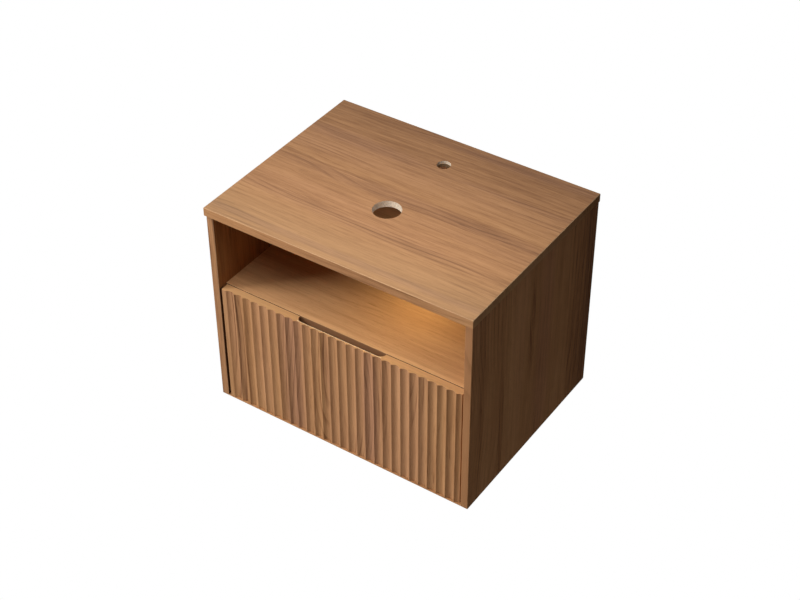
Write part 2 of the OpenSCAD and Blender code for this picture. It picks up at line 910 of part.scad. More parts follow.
module wood_dowels() {
    color(beech) {
        at_board(z_shelf - shelf_t / 2, dowel_rows) dowel();
        at_board(z_low + bottom_t / 2, dowel_rows) dowel();
        at_counter_dowels() dowel();
    }
}

module cabinet_runner_screws() {
    color(zinc) for (side = side_ends) {
        on_side(side) translate([inner_x - sheet_t, 0, 0]) cabinet_screw_places() wood_screw(screw_l);
    }
}

module drawer_runner_screws() {
    color(zinc) for (side = side_ends) {
        on_side(side) drawer_screw_places() wood_screw(screw_l - sheet_t);
    }
}

// Where the confirmat screws stand that hold the box together, pointing inwards from its sides
module at_box_screws() {
    for (side = side_ends, y = [y_box + box_t / 2, y_box + box_d - box_t / 2], up = [0.25, 0.8]) {
        translate([side * box_x, y, z_box + up * box_h]) on_side(side) mirror([1, 0, 0]) children();
    }
}

module drawer_box_screws() {
    color(zinc) at_box_screws() wood_screw(confirmat_l, confirmat_r, screw_head_r);
}

// Where the screws stand that hold the fluted front, pointing to the front
module at_front_screws() {
    for (side = side_ends, up = [0.25, 0.75]) {
        translate([side * front_w / 3, y_box + box_t, z_box + up * box_h]) rotate([0, 0, -90])
            children();
    }
}

module drawer_front_screws() {
    color(zinc) at_front_screws() pan_screw(front_screw_l);
}

module trim_strip_screws() {
    color(zinc) at_trim_screws() wood_screw(trim_screw_l);
}

// Bumpers on the back of the drawer front, which meet the edges of the shelf and the bottom panel
module closing_bumpers() {
    color(grey_rubber) for (side = side_ends, z = [z_shelf - shelf_t / 2, z_low + bottom_t / 2]) {
        translate([side * (inner_x - 30), y_box, z]) rotate([-90, 0, 0])
            cylinder(r = bumper_r, h = shelf_gap - bumper_gap, $fn = round_fn);
    }
}

countertop();
left_side_panel();
right_side_panel();
shelf();
bottom_panel();
bottom_trim_strip();
niche_back_panel();
upper_rear_rail();
lower_rear_rail();
drawer_front();
drawer_inner_front();
drawer_left_side();
drawer_right_side();
drawer_back();
drawer_bottom();
left_cabinet_member();
right_cabinet_member();
left_middle_member();
right_middle_member();
left_drawer_member();
right_drawer_member();
left_outer_ball_cage();
right_outer_ball_cage();
left_inner_ball_cage();
right_inner_ball_cage();
left_outer_balls();
right_outer_balls();
left_inner_balls();
right_inner_balls();
runner_buffers();
wall_rail();
left_hanging_clip();
right_hanging_clip();
hanging_clip_screws();
cams();
cam_bolts();
wood_dowels();
cabinet_runner_screws();
drawer_runner_screws();
drawer_box_screws();
drawer_front_screws();
trim_strip_screws();
closing_bumpers();
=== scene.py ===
import bpy
import json
from math import radians
from mathutils import Matrix, Vector

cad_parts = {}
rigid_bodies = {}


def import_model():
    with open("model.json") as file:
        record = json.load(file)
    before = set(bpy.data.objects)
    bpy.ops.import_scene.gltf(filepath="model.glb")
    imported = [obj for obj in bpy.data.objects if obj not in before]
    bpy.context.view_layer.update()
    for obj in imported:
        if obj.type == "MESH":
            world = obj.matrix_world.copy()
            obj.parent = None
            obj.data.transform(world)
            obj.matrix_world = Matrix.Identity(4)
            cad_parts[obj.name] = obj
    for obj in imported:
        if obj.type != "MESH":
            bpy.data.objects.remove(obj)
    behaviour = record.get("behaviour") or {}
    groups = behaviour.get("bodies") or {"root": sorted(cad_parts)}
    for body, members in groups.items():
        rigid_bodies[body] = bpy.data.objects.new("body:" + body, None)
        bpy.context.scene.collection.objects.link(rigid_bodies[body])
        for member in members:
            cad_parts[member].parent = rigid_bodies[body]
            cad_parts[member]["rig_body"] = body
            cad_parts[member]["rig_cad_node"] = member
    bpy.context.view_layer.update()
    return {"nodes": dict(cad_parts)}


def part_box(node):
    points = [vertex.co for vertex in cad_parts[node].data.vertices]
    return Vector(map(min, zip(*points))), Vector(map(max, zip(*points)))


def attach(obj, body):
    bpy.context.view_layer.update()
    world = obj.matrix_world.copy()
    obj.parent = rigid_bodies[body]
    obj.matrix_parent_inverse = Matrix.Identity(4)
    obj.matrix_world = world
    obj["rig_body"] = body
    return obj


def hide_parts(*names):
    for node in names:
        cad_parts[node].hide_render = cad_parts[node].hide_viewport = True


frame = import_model()
nodes = frame["nodes"]
scene = bpy.context.scene

# the viewpoint of the photograph
viewpoint = {
    "place": (1.42688, -2.33769, 1.91551),
    "azimuth": 34.2111,
    "elevation": 39.1462,
    "roll": -0.2437,
    "lens": 74.44,
    "sensor": 36,
    "farthest": 60,
}
bpy.ops.object.camera_add(location=viewpoint["place"])
camera = bpy.context.object
camera.name = "photoCamera"
turn = Matrix.Rotation(radians(viewpoint["azimuth"]), 3, "Z")
tip = Matrix.Rotation(radians(90 - viewpoint["elevation"]), 3, "X")
lean = Matrix.Rotation(radians(viewpoint["roll"]), 3, "Z")
camera.rotation_euler = (turn @ tip @ lean).to_euler()
camera.data.lens = viewpoint["lens"]
camera.data.sensor_width = viewpoint["sensor"]
camera.data.clip_end = viewpoint["farthest"]
scene.camera = camera
scene.view_settings.view_transform = "Standard"
print("camera placed")


# small helpers for node trees

def startMaterial(name):
    material = bpy.data.materials.new(name)
    material.use_nodes = True
    tree = material.node_tree
    tree.nodes.clear()
    output = tree.nodes.new("ShaderNodeOutputMaterial")
    shader = tree.nodes.new("ShaderNodeBsdfPrincipled")
    tree.links.new(shader.outputs["BSDF"], output.inputs["Surface"])
    return material, tree, shader


def feed(tree, socket, value):
    if isinstance(value, bpy.types.NodeSocket):
        tree.links.new(value, socket)
    elif value is not None:
        socket.default_value = value


def calc(tree, operation, first, second=None, third=None, clamp=False):
    node = tree.nodes.new("ShaderNodeMath")
    node.operation = operation
    node.use_clamp = clamp
    for socket, value in zip(node.inputs, (first, second, third)):
        feed(tree, socket, value)
    return node.outputs[0]


def hypotenuse(tree, first, second):
    squares = [calc(tree, "MULTIPLY", side, side) for side in (first, second)]
    return calc(tree, "SQRT", calc(tree, "ADD", *squares))


def splitAxes(tree, vector):
    node = tree.nodes.new("ShaderNodeSeparateXYZ")
    tree.links.new(vector, node.inputs[0])
    return list(node.outputs)


def joinAxes(tree, values):
    node = tree.nodes.new("ShaderNodeCombineXYZ")
    for socket, value in zip(node.inputs, values):
        tree.links.new(value, socket)
    return node.outputs[0]


def rescale(tree, vector, scale, shift=(0, 0, 0)):
    node = tree.nodes.new("ShaderNodeMapping")
    feed(tree, node.inputs["Vector"], vector)
    node.inputs["Scale"].default_value = scale
    node.inputs["Location"].default_value = shift
    return node.outputs[0]


def noise(tree, vector, detail, rough, scale=1.0):
    node = tree.nodes.new("ShaderNodeTexNoise")
    feed(tree, node.inputs["Vector"], vector)
    node.inputs["Scale"].default_value = scale
    node.inputs["Detail"].default_value = detail
    node.inputs["Roughness"].default_value = rough
    return node.outputs["Fac"]


def spread(tree, value, low, high, toLow=0.0, toHigh=1.0):
    node = tree.nodes.new("ShaderNodeMapRange")
    node.interpolation_type = "SMOOTHSTEP"
    feed(tree, node.inputs["Value"], value)
    node.inputs["From Min"].default_value = low
    node.inputs["From Max"].default_value = high
    node.inputs["To Min"].default_value = toLow
    node.inputs["To Max"].default_value = toHigh
    return node.outputs["Result"]


def layer(tree, space, part):
    # one layer of a finish; "shown" is the range of its values over which it fades in
    moved = rescale(tree, space, part["scale"], part.get("shift", (0, 0, 0)))
    value = noise(tree, moved, part["detail"], part["rough"])
    return spread(tree, value, *part["shown"]) if "shown" in part else value


def blendColour(tree, share, first, second, mode="MIX"):
    node = tree.nodes.new("ShaderNodeMix")
    node.data_type = "RGBA"
    node.blend_type = mode
    feed(tree, node.inputs["Factor"], share)
    feed(tree, node.inputs["A"], first)
    feed(tree, node.inputs["B"], second)
    return node.outputs["Result"]


def blendVector(tree, share, first, second):
    node = tree.nodes.new("ShaderNodeMix")
    node.data_type = "VECTOR"
    feed(tree, node.inputs["Factor"], share)
    feed(tree, node.inputs["A"], first)
    feed(tree, node.inputs["B"], second)
    return node.outputs["Result"]


def bump(tree, shader, height, strength, distance):
    node = tree.nodes.new("ShaderNodeBump")
    node.inputs["Strength"].default_value = strength
    node.inputs["Distance"].default_value = distance
    tree.links.new(height, node.inputs["Height"])
    tree.links.new(node.outputs["Normal"], shader.inputs["Normal"])


def fromSrgb(red, green, blue):
    shares = [c / 255 for c in (red, green, blue)]
    linear = [((s + 0.055) / 1.055) ** 2.4 if s > 0.04045 else s / 12.92 for s in shares]
    return (*linear, 1.0)


# walnut-look laminate: from pale early wood to the dark growth lines, and the hues that drift across it
walnutTones = [
    (0.00, (214, 166, 118)),
    (0.32, (195, 146, 101)),
    (0.55, (176, 128, 86)),
    (0.78, (141, 98, 64)),
    (1.00, (100, 66, 42)),
]
rosyTone = (186, 136, 104)
creamTone = (236, 203, 158)

# the axes that run along, across and into a board, and those of the band on its ends
grainAxes = {
    "xy": ("xyz", "yzx"),
    "xz": ("xzy", "zyx"),
    "zy": ("zyx", "yxz"),
    "zx": ("zxy", "xyz"),
    "yz": ("yzx", "xzy"),
}
# how squarely a face must look along an axis to count as a board's end, a flat face or a level one
squarely = {"end": 0.8, "face": 0.9, "level": 0.5}

# the layers of the wood's figure, each with how fast it changes along, across and into the board
noiseMiddle = 0.5
swayLayer = {"scale": (1.2, 5.0, 5.0), "detail": 1.5, "rough": 0.4}
archLayer = {"shift": (4.1, 2.3, 7.7), "detail": 1.0, "rough": 0.35}
archWidth = (8.0, 8.0)
figure = {
    "broad": {"scale": (0.9, 12.0, 12.0), "detail": 2.0, "rough": 0.5},
    "band": {"scale": (2.0, 44.0, 44.0), "detail": 2.0, "rough": 0.55},
    "fibre": {"scale": (7.0, 170.0, 170.0), "detail": 3.0, "rough": 0.6},
    "hair": {"scale": (26.0, 760.0, 760.0), "detail": 2.0, "rough": 0.6},
    "lines": {"scale": (2.2, 15.0, 15.0), "shift": (1.7, 3.9, 0.4), "detail": 2.0, "rough": 0.5},
    "flecks": {"scale": (19.0, 330.0, 330.0), "detail": 1.0, "rough": 0.5, "shown": (0.62, 0.74)},
    "fleckPlaces": {
        "scale": (3.0, 22.0, 22.0), "shift": (5.3, 1.9, 3.3), "detail": 1.0, "rough": 0.5,
        "shown": (0.46, 0.62),
    },
    "hue": {
        "scale": (0.8, 9.0, 9.0), "shift": (8.1, 0.9, 2.2), "detail": 2.0, "rough": 0.5,
        "shown": (0.42, 0.68),
    },
    "pores": {"scale": (60.0, 1500.0, 1500.0), "detail": 1.0, "rough": 0.5, "shown": (0.62, 0.74)},
}
# a growth line darkens slowly and ends sharply; its edge is ragged, and it leans as it goes into the board
growthLine = {"start": 0.45, "darkest": 0.92, "end": 1.0, "ragged": 0.22, "lean": 0.35, "fade": 0.2}
streakCore = 0.25  # the share of a streak's half size where it shows fully
plainStreak = {"hue": 0.0, "lines": 0.0}
poreShare = 0.30
grainRelief = {"fibreRough": 0.16, "poreRough": 0.12, "fibreHeight": 0.5, "strength": 0.35, "depth": 0.0001}


def grainSpace(tree, along, shift, point, facing):
    place = dict(zip("xyz", splitAxes(tree, point)))
    main, end = (joinAxes(tree, [place[axis] for axis in order]) for order in grainAxes[along])
    endwise = calc(tree, "ABSOLUTE", facing["xyz".index(along[0])])
    isEnd = calc(tree, "GREATER_THAN", endwise, squarely["end"])
    return rescale(tree, blendVector(tree, isEnd, main, end), (1, 1, 1), shift)


def growthLines(tree, space, side, depth, fibre, look):
    # growth lines are level curves of a slowly changing height
    arches = {**archLayer, "scale": (look["archLength"], *archWidth)}
    rise = calc(tree, "SUBTRACT", layer(tree, space, arches), noiseMiddle)
    level = calc(tree, "MULTIPLY_ADD", rise, look["arch"], side)
    level = calc(tree, "MULTIPLY_ADD", depth, growthLine["lean"], level)
    rings = calc(tree, "MULTIPLY", level, look["rings"])
    saw = calc(tree, "FRACT", calc(tree, "MULTIPLY_ADD", fibre, growthLine["ragged"], rings))
    darker = spread(tree, saw, growthLine["start"], growthLine["darkest"])
    paler = spread(tree, saw, growthLine["darkest"], growthLine["end"], 1.0, 0.0)
    return calc(tree, "MULTIPLY", darker, paler)


def woodColour(tree, space, look):
    along, across, depth = splitAxes(tree, space)
    sway = calc(tree, "SUBTRACT", layer(tree, space, swayLayer), noiseMiddle)
    side = calc(tree, "MULTIPLY_ADD", sway, look["sway"], across)
    bent = joinAxes(tree, (along, side, depth))
    part = {name: layer(tree, bent, own) for name, own in figure.items()}
    line = growthLines(tree, space, side, depth, part["fibre"], look)
    # the lines are strong in some places and faint in others
    shown = spread(tree, part["lines"], look["lineFrom"], look["lineFrom"] + growthLine["fade"])
    # long streaks of the sawn figure, each with its place and half sizes along and across the board
    alongOwn = calc(tree, "SUBTRACT", along, look["shift"][0])
    acrossOwn = calc(tree, "SUBTRACT", side, look["shift"][1])
    streakTone, streakHue = 0.0, 0.0
    for ownStreak in look.get("streaks", []):
        streak = {**plainStreak, **ownStreak}
        far, off = (
            calc(tree, "DIVIDE", calc(tree, "SUBTRACT", own, middle), half)
            for own, middle, half in zip((alongOwn, acrossOwn), streak["at"], streak["half"])
        )
        near = spread(tree, hypotenuse(tree, far, off), streakCore, 1.0, 1.0, 0.0)
        streakTone = calc(tree, "MULTIPLY_ADD", near, streak["dark"], streakTone)
        streakHue = calc(tree, "MULTIPLY_ADD", near, streak["hue"], streakHue)
        shown = calc(tree, "MAXIMUM", shown, calc(tree, "MULTIPLY", near, streak["lines"]))
    line = calc(tree, "MULTIPLY", line, shown)
    fleck = calc(tree, "MULTIPLY", part["flecks"], part["fleckPlaces"])
    tone = look["tone"]
    for name in ("broad", "band", "fibre", "hair"):
        tone = calc(tree, "MULTIPLY_ADD", calc(tree, "SUBTRACT", part[name], noiseMiddle), look[name], tone)
    for value, share in ((line, look["line"]), (fleck, look["fleck"]), (streakTone, 1.0)):
        tone = calc(tree, "MULTIPLY_ADD", value, share, tone)
    ramp = tree.nodes.new("ShaderNodeValToRGB")
    stops = ramp.color_ramp.elements
    for stop, (position, value) in zip((stops[0], stops[1]), (walnutTones[0], walnutTones[-1])):
        stop.position, stop.color = position, fromSrgb(*value)
    for position, value in walnutTones[1:-1]:
        stops.new(position).color = fromSrgb(*value)
    tree.links.new(tone, ramp.inputs["Fac"])
    colour = ramp.outputs["Color"]
    rosy = blendColour(tree, 1.0, colour, fromSrgb(*rosyTone), "COLOR")
    rosyShare = calc(tree, "MULTIPLY_ADD", part["hue"], look["rosy"], streakHue, clamp=True)
    colour = blendColour(tree, rosyShare, colour, rosy)
    poreMask = calc(tree, "MULTIPLY", part["pores"], poreShare)
    colour = blendColour(tree, poreMask, colour, fromSrgb(*walnutTones[-1][1]))
    return colour, part["fibre"], part["pores"]


# what single boards have besides their wood; each gets the colour so far and its own values

def paintFrontBand(tree, colour, where, band):
    # the band on the front edge is plainer than the board's faces; this is partly painted light, setting the
    # lit front edge apart from the shaded faces
    forward = calc(tree, "LESS_THAN", where["facing"][1], -squarely["face"])
    share = calc(tree, "MULTIPLY", forward, band["share"])
    return blendColour(tree, share, colour, fromSrgb(*band["tone"]))


def paintSheen(tree, colour, where, sheen):
    # painted sheen: the top is greyer towards the front, standing in for the light it reflects there
    forward = calc(tree, "MULTIPLY", where["place"][1], -1.0)
    share = spread(tree, forward, -sheen["from"], -sheen["to"], 0.0, sheen["share"])
    return blendColour(tree, share, colour, fromSrgb(*sheen["tone"]))


def paintRimHighlight(tree, colour, where, rim):
    # a hair-thin pale line on the top along its right edge: a painted highlight, which also stands for the
    # pale seam where the laminate meets the right edge band
    upward = calc(tree, "GREATER_THAN", where["facing"][2], squarely["level"])
    beyond = calc(tree, "GREATER_THAN", where["place"][0], rim["from"])
    share = calc(tree, "MULTIPLY", calc(tree, "MULTIPLY", beyond, upward), rim["share"])
    return blendColour(tree, share, colour, fromSrgb(*creamTone))


rawBoard = {
    "pale": (222, 206, 186), "chip": (192, 172, 148), "dusk": (116, 92, 66),
    "duskBelow": 0.001, "duskAbove": 0.0005,
    "chips": {"scale": (420, 420, 700), "detail": 2.0, "rough": 0.6, "shown": (0.35, 0.7)},
}


def paintHoles(tree, colour, where, holes):
    # the holes show the pale raw board, darker below the height that a hole gives
    x, y, z = where["place"]
    bored, deep = 0.0, 0.0
    for hole in holes.values():
        sides = [calc(tree, "SUBTRACT", own, middle) for own, middle in zip((x, y), hole["at"])]
        away = hypotenuse(tree, *sides)
        inside = calc(tree, "LESS_THAN", away, hole["radius"])
        duskFrom, duskTo = hole["paleTo"] - rawBoard["duskBelow"], hole["paleTo"] + rawBoard["duskAbove"]
        dusk = calc(tree, "MULTIPLY", inside, spread(tree, z, duskFrom, duskTo, 1.0, 0.0))
        bored = calc(tree, "MAXIMUM", inside, bored)
        deep = calc(tree, "MAXIMUM", dusk, deep)
    upright = calc(tree, "LESS_THAN", calc(tree, "ABSOLUTE", where["facing"][2]), squarely["level"])
    chips = layer(tree, where["point"], rawBoard["chips"])
    rawColour = blendColour(tree, chips, fromSrgb(*rawBoard["pale"]), fromSrgb(*rawBoard["chip"]))
    rawColour = blendColour(tree, deep, rawColour, fromSrgb(*rawBoard["dusk"]))
    return blendColour(tree, calc(tree, "MULTIPLY", bored, upright), colour, rawColour)


def paintFrontEdge(tree, colour, where, edge):
    # the front edge is rosy, with a painted shadow: a dark line at its top, outside the finger pull, where the
    # narrow gap behind the drawer front is in shade
    x, y, z = where["place"]
    front = calc(tree, "LESS_THAN", y, edge["y"])
    line = calc(tree, "GREATER_THAN", calc(tree, "ABSOLUTE", x), edge["pullHalf"])
    line = calc(tree, "MULTIPLY", line, calc(tree, "GREATER_THAN", z, edge["lineFrom"]))
    colour = blendColour(tree, calc(tree, "MULTIPLY", front, edge["share"]), colour, fromSrgb(*edge["tone"]))
    return blendColour(tree, calc(tree, "MULTIPLY", front, line), colour, fromSrgb(*edge["lineTone"]))


def paintGapShadow(tree, colour, where, shadowStrip):
    # painted shade: the panel's inner face is tinted darker and warmer, and a dark strip beside the drawer
    # front is a painted shadow of the gap there
    inner = calc(tree, "GREATER_THAN", where["facing"][0], squarely["face"])
    colour = blendColour(tree, inner, colour, fromSrgb(*shadowStrip["innerTint"]), "MULTIPLY")
    strip = calc(tree, "MULTIPLY", inner, calc(tree, "LESS_THAN", where["place"][2], shadowStrip["top"]))
    beside = calc(tree, "COMPARE", where["place"][1], shadowStrip["middle"], shadowStrip["half"])
    share = calc(tree, "MULTIPLY", calc(tree, "MULTIPLY", strip, beside), shadowStrip["share"])
    return blendColour(tree, share, colour, fromSrgb(*shadowStrip["tone"]))


def paintPullLip(tree, colour, where, lip):
    # the top edge is painted paler, standing in for the stronger light on this level face, and a thin cream
    # line runs along the lip of the finger pull
    x, y, z = where["place"]
    raised = calc(tree, "GREATER_THAN", z, lip["from"])
    upward = spread(tree, where["facing"][2], *lip["upward"])
    pale = blendColour(tree, lip["share"], colour, fromSrgb(*lip["tone"]))
    colour = blendColour(tree, calc(tree, "MULTIPLY", raised, upward), colour, pale)
    lipLine = calc(tree, "COMPARE", y, lip["foldMiddle"], lip["foldHalf"])
    lipLine = calc(tree, "MULTIPLY", lipLine, calc(tree, "LESS_THAN", calc(tree, "ABSOLUTE", x), lip["foldReach"]))
    return blendColour(tree, calc(tree, "MULTIPLY", lipLine, raised), colour, fromSrgb(*creamTone))


boardPaints = {
    "frontBand": paintFrontBand,
    "sheen": paintSheen,
    "rim": paintRimHighlight,
    "holes": paintHoles,
    "frontEdge": paintFrontEdge,
    "dustSeal": paintGapShadow,
    "pullLip": paintPullLip,
}
arrisRange = (1.15, 1.38)  # the sum of a normal's three shares, from nearly flat to well rounded


def boardMaterial(name, look):
    material, tree, shader = startMaterial(name)
    coordinates = tree.nodes.new("ShaderNodeTexCoord")
    point, normal = coordinates.outputs["Object"], coordinates.outputs["Normal"]
    where = {"point": point, "place": splitAxes(tree, point), "facing": splitAxes(tree, normal)}
    space = grainSpace(tree, look["along"], look["shift"], point, where["facing"])
    colour, fibre, pores = woodColour(tree, space, look)
    # a painted highlight: the soft arrises are painted paler, in cream
    total = calc(tree, "ABSOLUTE", where["facing"][0])
    for side in where["facing"][1:]:
        total = calc(tree, "ADD", total, calc(tree, "ABSOLUTE", side))
    arrisHighlightShare = calc(tree, "MULTIPLY", spread(tree, total, *arrisRange), look["edgeGlow"])
    colour = blendColour(tree, arrisHighlightShare, colour, fromSrgb(*creamTone))
    # a tint over the whole board; the right panel's warmer tint is painted light, for the warm light on its
    # shaded side
    if "tint" in look:
        colour = blendColour(tree, 1.0, colour, fromSrgb(*look["tint"]), "MULTIPLY")
    for key, paint in boardPaints.items():
        if key in look:
            colour = paint(tree, colour, where, look[key])
    tree.links.new(colour, shader.inputs["Base Color"])
    rough = calc(tree, "MULTIPLY_ADD", fibre, grainRelief["fibreRough"], look["rough"])
    rough = calc(tree, "MULTIPLY_ADD", pores, grainRelief["poreRough"], rough)
    tree.links.new(rough, shader.inputs["Roughness"])
    shader.inputs["Specular IOR Level"].default_value = look["gloss"]
    height = calc(tree, "SUBTRACT", calc(tree, "MULTIPLY", fibre, grainRelief["fibreHeight"]), pores)
    bump(tree, shader, height, grainRelief["strength"], grainRelief["depth"])
    return material


# zinc-plated and rolled steel, bearing steel, rubber and beech
cloudShown = (0.3, 0.7)
metalGrain = {
    "detail": 3.0, "rough": 0.6, "cloud": 22.0, "streakShare": 0.25, "streakRough": 0.18, "depth": 0.00005,
}
softGrain = {
    "detail": 2.0, "grit": 900.0, "gritRough": 0.6, "cloud": 60.0, "cloudRough": 0.5, "roughShare": 0.2,
    "strength": 0.3, "depth": 0.0001,
}


def metalMaterial(name, look):
    material, tree, shader = startMaterial(name)
    point = tree.nodes.new("ShaderNodeTexCoord").outputs["Object"]
    streaks = noise(tree, rescale(tree, point, look["brush"]), metalGrain["detail"], metalGrain["rough"])
    cloud = noise(tree, point, metalGrain["detail"], metalGrain["rough"], metalGrain["cloud"])
    tarnish = fromSrgb(*look["tarnish"])
    tone = blendColour(tree, spread(tree, cloud, *cloudShown), fromSrgb(*look["colour"]), tarnish)
    tone = blendColour(tree, calc(tree, "MULTIPLY", streaks, metalGrain["streakShare"]), tone, tarnish)
    tree.links.new(tone, shader.inputs["Base Color"])
    shader.inputs["Metallic"].default_value = 1.0
    rough = calc(tree, "MULTIPLY_ADD", streaks, metalGrain["streakRough"], look["rough"])
    tree.links.new(rough, shader.inputs["Roughness"])
    bump(tree, shader, streaks, look["bump"], metalGrain["depth"])
    return material


def softMaterial(name, look):
    material, tree, shader = startMaterial(name)
    point = tree.nodes.new("ShaderNodeTexCoord").outputs["Object"]
    grit = noise(tree, point, softGrain["detail"], softGrain["gritRough"], softGrain["grit"])
    cloud = noise(tree, point, softGrain["detail"], softGrain["cloudRough"], softGrain["cloud"])
    shade = fromSrgb(*look["shade"])
    tone = blendColour(tree, spread(tree, cloud, *cloudShown), fromSrgb(*look["colour"]), shade)
    tree.links.new(tone, shader.inputs["Base Color"])
    rough = calc(tree, "MULTIPLY_ADD", grit, softGrain["roughShare"], look["rough"])
    tree.links.new(rough, shader.inputs["Roughness"])
    bump(tree, shader, grit, softGrain["strength"], softGrain["depth"])
    return material


metalLooks = {
    "zincSteel": {
        "colour": (196, 198, 202), "tarnish": (160, 163, 168),
        "brush": (900, 8, 900), "rough": 0.28, "bump": 0.15,
    },
    "castZinc": {
        "colour": (176, 178, 182), "tarnish": (140, 142, 147),
        "brush": (300, 300, 300), "rough": 0.42, "bump": 0.3,
    },
    "cageSteel": {
        "colour": (120, 122, 127), "tarnish": (84, 86, 90),
        "brush": (900, 8, 900), "rough": 0.36, "bump": 0.15,
    },
    "ballSteel": {
        "colour": (222, 224, 228), "tarnish": (205, 207, 212),
        "brush": (60, 60, 60), "rough": 0.08, "bump": 0.02,
    },
}
softLooks = {
    "greyRubber": {"colour": (128, 128, 128), "shade": (108, 108, 108), "rough": 0.55},
    "beechDowel": {"colour": (214, 180, 136), "shade": (196, 158, 112), "rough": 0.6},
}
finishes = {name: metalMaterial(name, look) for name, look in metalLooks.items()}
finishes.update({name: softMaterial(name, look) for name, look in softLooks.items()})


def pieceNameFor(nodeName):
    # a node of one word already has the plain name, so its piece gets a second word
    words = nodeName.split("_")
    return words[0] + ("".join(word.capitalize() for word in words[1:]) or "Board")


def selectOnly(*pieces):
    bpy.ops.object.select_all(action="DESELECT")
    for piece in pieces:
        piece.select_set(True)
    bpy.context.view_layer.objects.active = pieces[0]


# a copy of a node with its edges softened as the real boards and sheets have them
mergeWithin = 0.000002
flatWithin = radians(0.4)
smoothBelow = radians(32)


def showCopy(nodeName, body, material, edge):
    selectOnly(nodes[nodeName])
    bpy.ops.object.duplicate()
    piece = bpy.context.object
    piece.name = pieceNameFor(nodeName)
    piece.data.name = piece.name
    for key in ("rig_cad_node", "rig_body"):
        if key in piece:
            del piece[key]
    piece.parent = None
    if piece.data.has_custom_normals:
        bpy.ops.mesh.customdata_custom_splitnormals_clear()
    bpy.ops.object.mode_set(mode="EDIT")
    bpy.ops.mesh.select_all(action="SELECT")
    bpy.ops.mesh.remove_doubles(threshold=mergeWithin)
    bpy.ops.mesh.dissolve_limited(angle_limit=flatWithin)
    bpy.ops.object.mode_set(mode="OBJECT")
    bpy.ops.object.shade_smooth_by_angle(angle=smoothBelow)
    if edge:
        soften = piece.modifiers.new("soften", "BEVEL")
        soften.width = edge["width"]
        soften.segments = edge["segments"]
        soften.limit_method = "ANGLE"
        soften.angle_limit = radians(edge["angle"])
        soften.harden_normals = True
        bpy.ops.object.modifier_apply(modifier="soften")
    piece.data.materials.clear()
    piece.data.materials.append(material)
    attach(piece, body)
    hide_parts(nodeName)
    return piece


